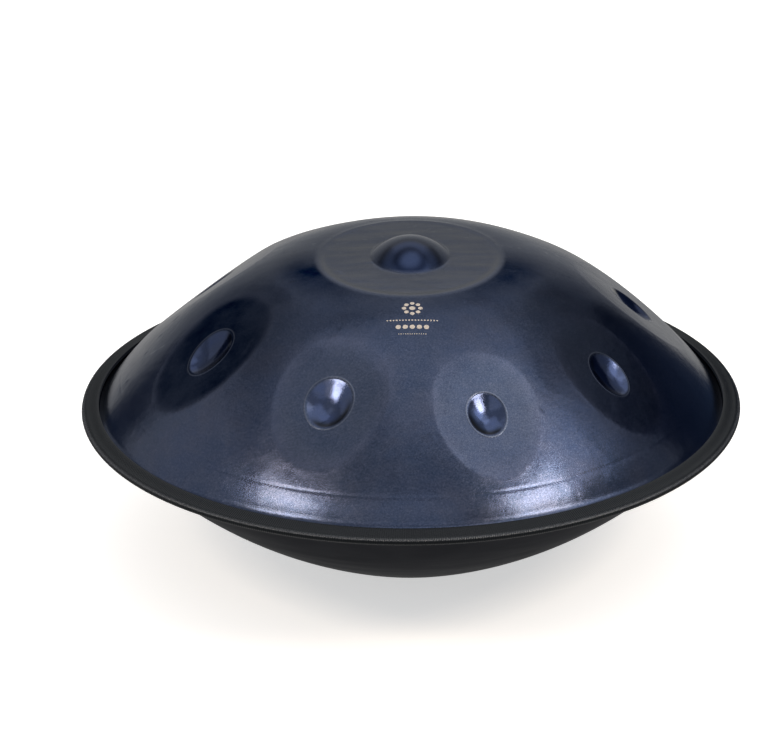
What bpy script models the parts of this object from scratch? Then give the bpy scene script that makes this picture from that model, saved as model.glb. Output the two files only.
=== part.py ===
"""A nine-note handpan: two steel shells bonded at their flanges, with an edge trim round the rim.

Units are metres and +Z is up. The axis of the instrument is the Z axis, the flat ring that it
rests on is at z = 0, and the player's side faces -Y. An azimuth is measured from -Y, and is
positive towards +X.
"""

import bmesh
import bpy
from math import asin, cos, hypot, pi, radians, sin, sqrt
from mathutils import Vector
from mathutils.geometry import delaunay_2d_cdt

# Driving dimensions
SEGMENTS = 72              # sides of every turned piece
SHEET = 0.0012             # steel sheet of both shells
SHELL_RADIUS = 0.2665      # edge of both flanges
FLANGE_INNER = 0.2585      # where the flat flange begins
GAP = 0.0003               # clearance between pieces that touch
BOND_HALF = 0.0003         # half the thickness of the adhesive
FLANGE_FACE = BOND_HALF + GAP
TINY = 1e-8                # lengths below this are taken as zero
MITRE_LIMIT = 0.5          # a sheet's corner is drawn out to no more than twice its thickness
RIM_HEIGHT = 0.1235        # bonded joint above the resting plane

TRIM_RADIUS = 0.270        # outside of the edge trim
TRIM_INNER = 0.2558        # free edge of the trim's two legs
TRIM_SLOT = 0.2671         # bottom of the trim's slot
TRIM_SPLICE = 0.0010       # opening between the trim's two ends, at the back

# Top shell, above the bonded joint: (radius, height, slope) down its outer side
CAP_RISE = 0.0022          # the crown is this much higher than the cap's edge
TOP_OUTLINE = (
    (0.078, 0.1252, -0.053),
    (0.116, 0.1166, -0.388),
    (0.164, 0.0912, -0.715),
    (0.216, 0.0458, -1.012),
    (0.238, 0.0219, -1.140),
    (0.249, 0.0073, -1.500),
    (FLANGE_INNER, FLANGE_FACE + SHEET, 0.0),
    (SHELL_RADIUS, FLANGE_FACE + SHEET, 0.0),
)

# The ding in the middle: a convex dome in a nearly flat oval field
DOME_HALF_WIDTH = 0.0325
DOME_HALF_LENGTH = 0.0400
DOME_HEIGHT = 0.0140
DOME_EDGE = 0.03           # softness of the dome's foot
DING_HALF_WIDTH = 0.073
DING_HALF_LENGTH = 0.082
DING_SINK = 0.0006
DING_EDGE = 0.04           # softness of the edge of the ding's field

# Eight ring notes, smallest first: azimuth, radius, field half length and half width,
# dimple half length and half width. Lengths run down the shell, widths across it.
NOTES = (
    (17.9, 0.1920, 0.0550, 0.0420, 0.0180, 0.0150),
    (-20.3, 0.1845, 0.0590, 0.0465, 0.0215, 0.0185),
    (55.8, 0.1915, 0.0580, 0.0430, 0.0200, 0.0160),
    (-63.9, 0.1795, 0.0630, 0.0490, 0.0225, 0.0190),
    (98.5, 0.1860, 0.0600, 0.0460, 0.0215, 0.0180),
    (-113.0, 0.1800, 0.0680, 0.0550, 0.0235, 0.0190),
    (146.0, 0.1820, 0.0670, 0.0520, 0.0240, 0.0195),
    (-162.0, 0.1780, 0.0700, 0.0550, 0.0250, 0.0205),
)
DIMPLE_DEPTH = 0.29        # depth of a dimple over its half width
FIELD_FLATTENING = 1.62    # sunk depth of a field is this times its half width squared
FIELD_EDGE = 0.12          # softness of a field's edge
DIMPLE_EDGE = 0.05         # softness of a dimple's edge
NOTES_INNER = 0.09         # no ring note reaches further in than this
FIELD_REACH = 2.0          # where a field's effect ends, over its half size
DIMPLE_REACH = 2.2         # where a dimple's effect ends, over its half size

# Bottom shell, below the bonded joint: (radius, depth, slope of the depth) up its outer side
LAND_INNER = 0.0560        # flat resting ring round the port
LAND_OUTER = 0.0640
BOTTOM_OUTLINE = (
    (LAND_OUTER, RIM_HEIGHT, 0.0),
    (0.1035, 0.1128, -0.495),
    (0.1755, 0.0716, -0.692),
    (0.2295, 0.0274, -0.949),
    (0.249, 0.0080, -1.018),
    (FLANGE_INNER, FLANGE_FACE + SHEET, 0.0),
    (SHELL_RADIUS, FLANGE_FACE + SHEET, 0.0),
)
PORT_RADIUS = 0.0480       # opening, to the inside of the neck
NECK_HEIGHT = 0.0300       # the neck's free edge above the resting plane

# Where the top shell's points lie
DOME_OVALS = (0.30, 0.55, 0.78, 0.93, 1.03)
DING_OVALS = ((0.70, 32), (0.95, 48), (1.05, 48))
NOTE_RINGS = (0.096, 0.108, 0.120, 0.132, 0.144, 0.156, 0.168, 0.180, 0.192, 0.204, 0.216)
RIM_RINGS = (0.2265, 0.2345, 0.2410, 0.2455, 0.2490, 0.2525, 0.2555, FLANGE_INNER, SHELL_RADIUS)
DIMPLE_OVALS = ((0.45, 10), (0.80, 18), (0.97, 22), (1.15, 22))
DIMPLE_CLEAR = 1.42        # the rings' points keep out of the dimples' ovals of this scale
DOME_SIDES = 28

# Where the bottom shell's points lie, and the sides of its rounded corner
BOWL_RADII = (0.076, 0.090, 0.108, 0.130, 0.153, 0.176, 0.200, 0.222, 0.238, 0.249, 0.254)
CORNER_STEPS = 4

ADHESIVE_INSET = 0.0005    # the bead stops this far inside both edges of the flange

# Section of the edge trim, above the joint
NOSE_RADIUS = 0.2640       # where the rounded nose begins
NOSE_HEIGHT = 0.0038
LEG_TOP = 0.0060
LEG_CHAMFER = 0.0006
LIP_RISE = 0.0009          # the legs' free edges open by this much, to clear the shells' bends

MATERIALS = {
    "nitrided_steel_blue": ((0.045, 0.060, 0.105), 0.34, 1.0),
    "nitrided_steel_dark": ((0.030, 0.034, 0.042), 0.42, 1.0),
    "trim_rubber_black": ((0.022, 0.023, 0.025), 0.55, 0.0),
    "bond_adhesive_black": ((0.015, 0.015, 0.016), 0.60, 0.0),
}


def clear_scene():
    for item in list(bpy.data.objects):
        bpy.data.objects.remove(item, do_unlink=True)


def make_material(name):
    colour, roughness, metallic = MATERIALS[name]
    material = bpy.data.materials.new(name)
    material.use_nodes = True
    shader = material.node_tree.nodes["Principled BSDF"]
    shader.inputs["Base Color"].default_value = (*colour, 1.0)
    shader.inputs["Roughness"].default_value = roughness
    shader.inputs["Metallic"].default_value = metallic
    return material


def add_object(name, mesh_builder, material_name):
    """Turn a bmesh into a named object at the height of the bonded joint."""
    bmesh.ops.recalc_face_normals(mesh_builder, faces=mesh_builder.faces)
    mesh = bpy.data.meshes.new(name)
    mesh_builder.to_mesh(mesh)
    mesh_builder.free()
    mesh.materials.append(make_material(material_name))
    item = bpy.data.objects.new(name, mesh)
    item.location.z = RIM_HEIGHT
    bpy.context.scene.collection.objects.link(item)
    return item


def outline_at(outline, radius):
    """Height and slope of a smooth outline, by cubic Hermite pieces between its points."""
    for (r0, z0, s0), (r1, z1, s1) in zip(outline, outline[1:]):
        if radius <= r1 or r1 == outline[-1][0]:
            break
    width = r1 - r0
    t = (radius - r0) / width
    height = (
        (2 * t ** 3 - 3 * t ** 2 + 1) * z0
        + (t ** 3 - 2 * t ** 2 + t) * width * s0
        + (3 * t ** 2 - 2 * t ** 3) * z1
        + (t ** 3 - t ** 2) * width * s1
    )
    slope = (
        (6 * t ** 2 - 6 * t) * (z0 - z1) / width
        + (3 * t ** 2 - 4 * t + 1) * s0
        + (3 * t ** 2 - 2 * t) * s1
    )
    return height, slope


def top_profile(radius):
    """Height and slope of the top shell's turned outer side, before its notes are formed."""
    cap_radius, cap_height, _ = TOP_OUTLINE[0]
    if radius < cap_radius:
        rise = CAP_RISE * (1 - (radius / cap_radius) ** 2)
        return cap_height + rise, -2 * CAP_RISE * radius / cap_radius ** 2
    return outline_at(TOP_OUTLINE, radius)


def arc_table(steps=250):
    """Length along the top shell's outline at even steps of radius."""
    step = SHELL_RADIUS / steps
    lengths = [0.0]
    for index in range(steps):
        slope = top_profile((index + 0.5) * step)[1]
        lengths.append(lengths[-1] + step * hypot(1, slope))
    return step, lengths


ARC_STEP, ARC_LENGTHS = arc_table()


def arc_length(radius):
    index = min(int(radius / ARC_STEP), len(ARC_LENGTHS) - 2)
    part = radius / ARC_STEP - index
    return ARC_LENGTHS[index] * (1 - part) + ARC_LENGTHS[index + 1] * part


def radius_at_arc(length):
    """Inverse of arc_length, by bisection."""
    low, high = 0.0, SHELL_RADIUS
    for _ in range(40):
        middle = (low + high) / 2
        if arc_length(middle) < length:
            low = middle
        else:
            high = middle
    return (low + high) / 2


def soft_step(value, softness):
    """Positive part of a value, with a rounded corner at zero."""
    return (value + sqrt(value * value + softness * softness)) / 2


def note_place(note, x, y):
    """Distances down and across the shell from a note's centre, or None on the far side."""
    angle = radians(note[0])
    if x * sin(angle) - y * cos(angle) <= 0:
        return None
    radius = hypot(x, y)
    side = (x * cos(angle) + y * sin(angle)) / radius
    across = radius * asin(max(-1.0, min(1.0, side)))
    return arc_length(radius) - arc_length(note[1]), across


def oval_value(first, second, half_first, half_second):
    """One at the middle of an oval, zero on it, and below zero outside."""
    return 1 - (first / half_first) ** 2 - (second / half_second) ** 2


def note_offset(x, y):
    """How far the sheet is moved along its normal by the ring notes; inwards is negative."""
    if hypot(x, y) < NOTES_INNER:
        return 0.0
    offset = 0.0
    for note in NOTES:
        _, _, length, width, dimple_length, dimple_width = note
        place = note_place(note, x, y)
        if place is None:
            continue
        field = oval_value(*place, length, width)
        if field < 1 - FIELD_REACH ** 2:
            continue
        offset -= FIELD_FLATTENING * width ** 2 * soft_step(field, FIELD_EDGE)
        dimple = oval_value(*place, dimple_length, dimple_width)
        if dimple > 1 - DIMPLE_REACH ** 2:
            offset -= DIMPLE_DEPTH * dimple_width * soft_step(dimple, DIMPLE_EDGE)
    return offset


def ding_rise(x, y):
    """Height of the ding's dome, less the slight sinking of its field."""
    field = oval_value(x, y, DING_HALF_WIDTH, DING_HALF_LENGTH)
    if field < -1:
        return 0.0
    dome = oval_value(x, y, DOME_HALF_WIDTH, DOME_HALF_LENGTH)
    return DOME_HEIGHT * soft_step(dome, DOME_EDGE) - DING_SINK * soft_step(field, DING_EDGE)


def top_point(x, y, depth):
    """A point of the top shell, this deep below its outer side."""
    radius = hypot(x, y)
    height, slope = top_profile(radius)
    scale = hypot(1, slope)
    shift = note_offset(x, y) - depth
    spread = 1 - shift * slope / scale / max(radius, TINY)
    return Vector((x * spread, y * spread, height + ding_rise(x, y) + shift / scale))


def circle_points(radius, count):
    return [
        (radius * sin(2 * pi * i / count), -radius * cos(2 * pi * i / count))
        for i in range(count)
    ]


def oval_points(half_width, half_length, count):
    return [
        (half_width * sin(2 * pi * i / count), half_length * cos(2 * pi * i / count))
        for i in range(count)
    ]


def note_points(note, scale, half_length, half_width, count):
    """Points round one oval of a ring note, laid on the shell and seen from above."""
    azimuth, note_radius = note[:2]
    points = []
    for i in range(count):
        turn = 2 * pi * i / count
        radius = radius_at_arc(arc_length(note_radius) + scale * half_length * cos(turn))
        angle = radians(azimuth) + scale * half_width * sin(turn) / radius
        points.append((radius * sin(angle), -radius * cos(angle)))
    return points


def near_dimple(x, y):
    """True where the dimples' own points are used in place of the shell's rings."""
    places = ((note, note_place(note, x, y)) for note in NOTES)
    return any(
        place and oval_value(*place, note[4], note[5]) > 1 - DIMPLE_CLEAR ** 2
        for note, place in places
    )


def top_plan():
    """Plan of the top shell: the ding's ovals, the shell's rings and the dimples' ovals."""
    points = [(0.0, 0.0)]
    for scale in DOME_OVALS:
        points += oval_points(scale * DOME_HALF_WIDTH, scale * DOME_HALF_LENGTH, DOME_SIDES)
    for scale, count in DING_OVALS:
        points += oval_points(scale * DING_HALF_WIDTH, scale * DING_HALF_LENGTH, count)
    for radius in NOTE_RINGS:
        points += [point for point in circle_points(radius, SEGMENTS) if not near_dimple(*point)]
    for radius in RIM_RINGS:
        points += circle_points(radius, SEGMENTS)
    for note in NOTES:
        points += note_points(note, 0.0, 0.0, 0.0, 1)
        for scale, count in DIMPLE_OVALS:
            points += note_points(note, scale, note[4], note[5], count)
    return [Vector(point) for point in points]


def build_top_shell():
    """One pressed sheet: its outer side, its inner side one thickness below, and its edge."""
    plan, _, triangles, *_ = delaunay_2d_cdt(top_plan(), [], [], 0, TINY)
    builder = bmesh.new()
    outer = [builder.verts.new(top_point(p.x, p.y, 0.0)) for p in plan]
    inner = [builder.verts.new(top_point(p.x, p.y, SHEET)) for p in plan]
    for triangle in triangles:
        builder.faces.new([outer[i] for i in triangle])
        builder.faces.new([inner[i] for i in reversed(triangle)])
    pair = {vertex: inner[i] for i, vertex in enumerate(outer)}
    for edge in [e for e in builder.edges if e.is_boundary and e.verts[0] in pair]:
        first, second = edge.verts
        builder.faces.new((first, second, pair[second], pair[first]))
    return add_object("top_shell", builder, "nitrided_steel_blue")


def turned_body(section, splice=0.0):
    """Turn a closed section about Z; a splice leaves an opening between its ends at the back."""
    builder = bmesh.new()
    start = splice / 2 / TRIM_RADIUS
    span = 2 * pi - 2 * start
    count = SEGMENTS + 1 if splice else SEGMENTS
    rings = []
    for i in range(count):
        angle = start + span * i / SEGMENTS
        rings.append([builder.verts.new((r * -sin(angle), r * cos(angle), z)) for r, z in section])
    corners = len(section)
    for i in range(SEGMENTS):
        ring, following = rings[i], rings[(i + 1) % count]
        for j in range(corners):
            k = (j + 1) % corners
            builder.faces.new((ring[j], following[j], following[k], ring[k]))
    if splice:
        builder.faces.new(rings[0])
        builder.faces.new(list(reversed(rings[-1])))
    return builder


def sheet_section(line):
    """Close an open (radius, height) line into a section one sheet thick, to the line's left."""
    inner = []
    for i, (r, z) in enumerate(line):
        before = Vector(line[max(i - 1, 0)])
        after = Vector(line[min(i + 1, len(line) - 1)])
        here = Vector((r, z))
        into = (here - before).normalized() if i else (after - here).normalized()
        onward = (after - here).normalized() if i < len(line) - 1 else into
        bisector = (into + onward).normalized()
        depth = SHEET / max(bisector.dot(into), MITRE_LIMIT)
        inner.append((r - bisector.y * depth, z + bisector.x * depth))
    return list(line) + inner[::-1]


def build_bottom_shell():
    """A turned shell: from the neck's free edge, round the port and up to the flange."""
    fillet = LAND_INNER - PORT_RADIUS - SHEET
    line = [(PORT_RADIUS + SHEET, NECK_HEIGHT - RIM_HEIGHT)]
    for i in range(CORNER_STEPS):
        turn = pi / 2 * i / CORNER_STEPS
        line.append((LAND_INNER - fillet * cos(turn), fillet * (1 - sin(turn)) - RIM_HEIGHT))
    line.append((LAND_INNER, -RIM_HEIGHT))
    line.append((LAND_OUTER, -RIM_HEIGHT))
    for radius in BOWL_RADII:
        line.append((radius, -outline_at(BOTTOM_OUTLINE, radius)[0]))
    line.append((FLANGE_INNER, -FLANGE_FACE - SHEET))
    line.append((SHELL_RADIUS, -FLANGE_FACE - SHEET))
    return add_object("bottom_shell", turned_body(sheet_section(line)), "nitrided_steel_dark")


def build_flange_adhesive():
    """The bead that bonds the two flanges, squeezed to a thin flat ring."""
    inner = FLANGE_INNER + ADHESIVE_INSET
    outer = SHELL_RADIUS - ADHESIVE_INSET
    section = [(inner, -BOND_HALF), (outer, -BOND_HALF), (outer, BOND_HALF), (inner, BOND_HALF)]
    return add_object("flange_adhesive", turned_body(section), "bond_adhesive_black")


def build_rim_trim():
    """A U-shaped strip pushed over both flanges, with its two ends butted at the back."""
    slot_half = FLANGE_FACE + SHEET + GAP
    upper = [
        (TRIM_INNER, slot_half + LIP_RISE),
        (TRIM_INNER, LEG_TOP - LEG_CHAMFER),
        (TRIM_INNER + LEG_CHAMFER, LEG_TOP),
    ]
    for i in range(CORNER_STEPS):
        turn = pi / 2 * i / CORNER_STEPS
        reach = TRIM_RADIUS - NOSE_RADIUS
        upper.append((NOSE_RADIUS + reach * sin(turn), NOSE_HEIGHT * cos(turn)))
    tip = [(TRIM_RADIUS, 0.0)]
    lower = [(r, -z) for r, z in reversed(upper)]
    slot = [(TRIM_SLOT, -slot_half), (TRIM_SLOT, slot_half)]
    section = upper + tip + lower + slot
    return add_object("rim_trim", turned_body(section, TRIM_SPLICE), "trim_rubber_black")


def main():
    clear_scene()
    build_top_shell()
    build_bottom_shell()
    build_flange_adhesive()
    build_rim_trim()


main()
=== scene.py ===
"""Looks of a nine-note handpan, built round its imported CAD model.

Units are metres in the row frame: +Z up, the resting plane at z = 0 and the player's side
facing -Y. An azimuth is measured from -Y, and is positive towards +X. Colours are linear.
"""

from collections import namedtuple
from math import cos, pi, radians, sin

import bpy
import numpy as np
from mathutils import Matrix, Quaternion, Vector
from mathutils.geometry import delaunay_2d_cdt


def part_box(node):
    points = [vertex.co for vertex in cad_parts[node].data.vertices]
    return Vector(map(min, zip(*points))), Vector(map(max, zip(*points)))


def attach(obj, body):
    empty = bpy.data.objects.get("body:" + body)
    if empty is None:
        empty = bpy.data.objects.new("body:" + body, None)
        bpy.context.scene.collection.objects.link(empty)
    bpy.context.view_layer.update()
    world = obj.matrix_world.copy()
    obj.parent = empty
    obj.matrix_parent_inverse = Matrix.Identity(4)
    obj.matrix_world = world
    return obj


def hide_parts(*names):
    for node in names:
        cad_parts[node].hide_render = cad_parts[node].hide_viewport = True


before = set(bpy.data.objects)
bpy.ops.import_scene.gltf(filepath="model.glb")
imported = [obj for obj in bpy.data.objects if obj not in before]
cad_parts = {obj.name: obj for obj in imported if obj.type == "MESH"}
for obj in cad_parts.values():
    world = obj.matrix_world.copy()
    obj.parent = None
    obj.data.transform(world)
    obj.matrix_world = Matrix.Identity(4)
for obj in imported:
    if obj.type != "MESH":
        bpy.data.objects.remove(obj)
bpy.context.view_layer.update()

# ---------------------------------------------------------------- dimensions of the CAD model
trim_low, trim_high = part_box("rim_trim")
RIM_HEIGHT = (trim_low.z + trim_high.z) / 2
TRIM_RADIUS = trim_high.x
SHEET = 0.0012              # thickness of both shells
SHELL_RADIUS = 0.2665
FLANGE_INNER = 0.2585
FLANGE_FACE = 0.0006        # half of the gap between the flanges

LEG_TOP = (trim_high.z - trim_low.z) / 2
TRIM_INNER = 0.2558         # free edges of the trim's legs
TRIM_SLOT = 0.2671          # bottom of the trim's slot
SLOT_CLEARANCE = 0.0003
SLOT_HALF = FLANGE_FACE + SHEET + SLOT_CLEARANCE
LEG_FLARE = 0.0009          # the legs open by this much at their free edges
TRIM_LEG = (                # outwards from the free edge, upwards from the leg's top
    (0.0, -0.0007),
    (0.0002, -0.0002),
    (0.0007, 0.0),
    (0.0030, -0.0006),
    (0.0055, -0.0013),
)
NOSE_RADIUS = 0.2640        # the trim's rounded nose starts here
NOSE_HEIGHT = 0.0038
TRIM_SPLICE = 0.0010        # gap between the trim's two ends

CAP_RISE = 0.0022           # crown of the flat field round the ding
TOP_OUTLINE = (             # radius, height over the rim, slope
    (0.078, 0.1252, -0.053),
    (0.116, 0.1166, -0.388),
    (0.164, 0.0912, -0.715),
    (0.216, 0.0458, -1.012),
    (0.238, 0.0219, -1.140),
    (0.249, 0.0073, -1.500),
    (FLANGE_INNER, FLANGE_FACE + SHEET, 0.0),
    (SHELL_RADIUS, FLANGE_FACE + SHEET, 0.0),
)
DOME_HALF_WIDTH = 0.0325
DOME_HALF_LENGTH = 0.0400
DOME_HEIGHT = 0.0140
DOME_EDGE = 0.03            # softness of the dome's foot
DING_HALF_WIDTH = 0.073
DING_HALF_LENGTH = 0.082
DING_SINK = 0.0006
DING_EDGE = 0.04            # softness of the edge of the ding's field

Note = namedtuple("Note", "azimuth radius length width dimple_length dimple_width")
NOTES = (                   # lengths run down the shell; all four sizes are half sizes
    Note(17.9, 0.1920, 0.0550, 0.0420, 0.0180, 0.0150),
    Note(-20.3, 0.1845, 0.0590, 0.0465, 0.0215, 0.0185),
    Note(55.8, 0.1915, 0.0580, 0.0430, 0.0200, 0.0160),
    Note(-63.9, 0.1795, 0.0630, 0.0490, 0.0225, 0.0190),
    Note(98.5, 0.1860, 0.0600, 0.0460, 0.0215, 0.0180),
    Note(-113.0, 0.1800, 0.0680, 0.0550, 0.0235, 0.0190),
    Note(146.0, 0.1820, 0.0670, 0.0520, 0.0240, 0.0195),
    Note(-162.0, 0.1780, 0.0700, 0.0550, 0.0250, 0.0205),
)
DIMPLE_DEPTH = 0.29         # depth of a dimple, over its half width
DIMPLE_EDGE = 0.05          # softness of a dimple's edge
FIELD_FLATTENING = 1.62     # curvature taken away inside a field

LAND_INNER = 0.0560         # the flat ring that the instrument rests on
LAND_OUTER = 0.0640
BOTTOM_OUTLINE = (          # radius, depth below the rim, slope
    (LAND_OUTER, RIM_HEIGHT, 0.0),
    (0.1035, 0.1128, -0.495),
    (0.1755, 0.0716, -0.692),
    (0.2295, 0.0274, -0.949),
    (0.249, 0.0080, -1.018),
    (FLANGE_INNER, FLANGE_FACE + SHEET, 0.0),
    (SHELL_RADIUS, FLANGE_FACE + SHEET, 0.0),
)
PORT_RADIUS = 0.0480
NECK_HEIGHT = 0.0300        # the port's neck, turned up into the body

# ---------------------------------------------------------------- detail of the visible surfaces
DIMPLE_SKEW = 0.35          # the dimples are deeper down the slope
FIELD_EDGE = 0.28           # softness of a field's edge
FIELD_RIDGE_HEIGHT = 0.00012  # faint ridge round each ring note's field
FIELD_RIDGE_WIDTH = 0.0022
LIP_SCALE = 1.075           # a dimple's lip lies this far out, over the dimple's half size
LIP_HEIGHT = 0.00012        # raised lip round each dimple
LIP_WIDTH = 0.00045
DING_RIDGE_HEIGHT = 0.00040  # faint ridge round the ding's field
DING_RIDGE_WIDTH = 0.0030
CREASE_RADIUS = 0.2375      # fine crease pressed round the top shell
CREASE_WIDTH = 0.0007
CREASE_DEPTH = 0.00016
RIB_COUNT = 970             # fine ribs across the edge trim
RIB_HEIGHT = 0.00030
RIB_STEPS = 4               # columns of faces to a rib
SMOOTH_POINTS = 3           # points of the trim's section at each free edge that have no ribs
EMBLEM_CENTRE = (0.0015, -0.1000)
HEART_SIZE = 0.0024         # radius of the rosette's middle dot
PETAL_SIZE = 0.0018
PETAL_COUNT = 8
PETAL_RADIUS = 0.0064       # how far the other dots lie from the middle one
EMBLEM_ROWS = (             # distance below the rosette, width, count and radius of the dots
    (0.0138, 0.0390, 17, 0.00070),
    (0.0208, 0.0220, 5, 0.00210),
    (0.0278, 0.0210, 13, 0.00045),
)
DOT_SECTION = (             # share of a dot's radius, height over the steel
    (0.0, 0.00005),
    (0.92, 0.00005),
    (1.0, 0.00002),
    (1.0, -0.00004),
)

# ---------------------------------------------------------------- fineness of the meshes
TABLE_STEP = 0.00005        # step of the tables of heights
PROFILE_BLUR = 0.003        # rounds the joins between an outline's pieces
BLUR_REACH = 3              # the blur is cut off at this many times its width
BLUR_END = 0.247            # an outline is left as it is from here outwards
BLUR_FADE = 0.008
NORMAL_STEP = 0.0002
NOWHERE_NEAR = 1.0          # a distance that is off the shell
FIELD_REACH = 2.0           # a field and a dimple shape the shell out to this many half sizes
DIMPLE_REACH = 2.2
DOME_CUT = -1.5             # and the dome and the ding's field out to these, on their own scales
DING_CUT = -1.0
TINY = 1e-9                 # keeps divisions by a radius from failing at the axis
NEAR_AXIS = 0.001
RIM_TOLERANCE = 1e-5
FEWEST_SIDES = 12
DOME_OVALS = np.arange(0.06, 1.10, 0.05)
DOME_OVAL_SIDES = 110
DING_OVALS = np.concatenate((np.arange(0.525, 0.86, 0.0315), np.arange(0.87, 1.12, 0.018)))
DING_OVAL_SIDES = 180
DING_CLEAR = 1.12           # no ring has points inside this oval
DIMPLE_OVALS = np.concatenate((
    np.arange(0.09, 0.80, 0.07),
    np.arange(0.82, 0.94, 0.03),
    np.arange(0.95, 1.15, 0.0125),
    np.arange(1.17, 1.43, 0.06),
))
DIMPLE_OVAL_SIDES = 96
DIMPLE_CLEAR = 1.47
RING_STEP = 0.0023          # spacing of the top shell's rings
RING_END = 0.2450
POINT_STEP = 0.0026         # spacing of the points round a ring
CREASE_CLEAR = 0.0026       # closer rings take over this near the crease
CREASE_OFFSETS = (-3, -2, -1, 0, 1, 2, 3)
CREASE_STEP = 0.0006
RIM_SIDES = 480
RIM_RINGS = np.linspace(0.2462, FLANGE_INNER, 12)
INNER_RINGS = np.arange(0.010, 0.2560, 0.0048)
INNER_POINT_STEP = 0.0062
SAME_POINT = 1e-8
BOWL_SIDES = 288
BOWL_RADII = np.concatenate((
    np.arange(0.0665, 0.2470, 0.0025),
    np.linspace(0.2480, FLANGE_INNER, 9),
))
NECK_ROWS = 8
FILLET_ROWS = 10
NOSE_ROWS = 7
LONGEST_MITRE = 2.0         # at a corner of a sheet, over its thickness
DOT_SIDES = 20

# ---------------------------------------------------------------- where the heat colours, and the painted light and shade, lie
DIMPLE_FADE = (0.92, 1.02)  # each pair runs from the full share to none, or from none to full
FIELD_FADE = (0.78, 1.06)
FIELD_BAND = 0.95           # place and width of a paler band of painted highlight just inside a field's edge
FIELD_BAND_WIDTH = 0.0055
SHADE_TURN = 1.8            # a dimple's side of painted shade turns towards the player, by its azimuth
SHADE_RING = (0.60, 0.88)
SHADE_SIDE = (0.10, 0.60)
SIDE_SHADE_FROM = (47, 66)       # painted shade darkens the side notes' fields, by azimuth
SIDE_SHADE_TO = (70, 95)
NOTE_SHADE_FADE = (0.86, 1.08)
DING_FIELD_SHARE = 0.5
DING_FIELD_FADE = (0.93, 1.03)
PLATEAU_FADE = (0.92, 1.02)
PALE_BAND = 0.975           # painted highlight: a paler band along the front of the ding's field
PALE_WIDTH = 0.0028
FRONT_FADE = (-0.03, 0.03)  # by distance towards the player
HALO_FROM = (1.02, 1.08)    # painted shade just outside the ding's field
HALO_TO = (1.15, 1.90)
HALO_SHARE = 0.25
HALO_SIDE_SHARE = 0.60      # what is added to it at the sides
FLANK_FROM = (0.080, 0.115)  # painted shade on the shell's two sides, by radius
FLANK_TO = (0.165, 0.225)
FLANK_SIDE = (0.55, 0.90)
FLANK_FRONT = (-0.03, 0.05)
FLANK_SHARE = 0.50
DOME_FADE = (0.92, 1.0)
REFLECTION_DROP = 0.027          # the dome's painted blue reflection lies this far towards the player
REFLECTION_SIZE = 0.023
REFLECTION_FADE = (0.90, 1.30)
REFLECTION_RINGS = (0.48, 1.08)
REFLECTION_RING_WIDTH = 0.16


# ================================================================ the steel's surfaces
def bell(value):
    """1 at zero, falling off smoothly on both sides."""
    return np.exp(-value * value)


def fade(value, low, high):
    """0 below low, 1 above high, smooth between them."""
    t = np.clip((value - low) / (high - low), 0, 1)
    return t * t * (3 - 2 * t)


def soft_step(value, softness):
    """Positive part of a value, with a rounded corner at zero."""
    return (value + np.sqrt(value * value + softness * softness)) / 2


def outline_at(outline, radius):
    """Heights of a smooth outline, by cubic Hermite pieces between its points."""
    points = np.array(outline)
    index = np.clip(np.searchsorted(points[:, 0], radius) - 1, 0, len(points) - 2)
    r0, z0, s0 = points[index].T
    r1, z1, s1 = points[index + 1].T
    width = r1 - r0
    t = (radius - r0) / width
    return (
        (2 * t ** 3 - 3 * t ** 2 + 1) * z0
        + (t ** 3 - 2 * t ** 2 + t) * width * s0
        + (3 * t ** 2 - 2 * t ** 3) * z1
        + (t ** 3 - t ** 2) * width * s1
    )


def blurred(heights):
    """Heights smoothed along the radius, but left as they are near the rim."""
    reach = int(BLUR_REACH * PROFILE_BLUR / TABLE_STEP)
    offsets = np.arange(-reach, reach + 1) * TABLE_STEP
    kernel = np.exp(-((offsets / PROFILE_BLUR) ** 2) / 2)
    padded = np.concatenate((heights[reach:0:-1], heights, np.full(reach, heights[-1])))
    smooth = np.convolve(padded, kernel / kernel.sum(), mode="valid")
    share = fade(BLUR_END - RADII, 0, BLUR_FADE)
    return smooth * share + heights * (1 - share)


RADII = np.arange(0, SHELL_RADIUS + TABLE_STEP, TABLE_STEP)
CAP_RADIUS, CAP_HEIGHT, _ = TOP_OUTLINE[0]
TOP_HEIGHTS = blurred(np.where(
    RADII < CAP_RADIUS,
    CAP_HEIGHT + CAP_RISE * (1 - (RADII / CAP_RADIUS) ** 2),
    outline_at(TOP_OUTLINE, RADII),
))
TOP_SLOPES = np.gradient(TOP_HEIGHTS, TABLE_STEP)
ARC_LENGTHS = np.concatenate(([0.0], np.cumsum(TABLE_STEP * np.hypot(1, TOP_SLOPES[:-1]))))
BOTTOM_DEPTHS = blurred(np.where(
    RADII < LAND_OUTER, RIM_HEIGHT, outline_at(BOTTOM_OUTLINE, RADII),
))


def arc_length(radius):
    """Distance from the crown down the top shell."""
    return np.interp(radius, RADII, ARC_LENGTHS)


def note_place(note, x, y):
    """Distances down and across the shell from a note's centre; far away on the other side."""
    angle = radians(note.azimuth)
    radius = np.maximum(np.hypot(x, y), TINY)
    side = np.clip((x * cos(angle) + y * sin(angle)) / radius, -1, 1)
    across = radius * np.arcsin(side)
    down = arc_length(radius) - arc_length(note.radius)
    facing = x * sin(angle) - y * cos(angle) > 0
    return np.where(facing, down, NOWHERE_NEAR), across


def note_reach(note, down, across):
    """Distances from a note's centre, over its field's half sizes and over its dimple's."""
    field = np.hypot(down / note.length, across / note.width)
    dimple = np.hypot(down / note.dimple_length, across / note.dimple_width)
    return field, dimple


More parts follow.
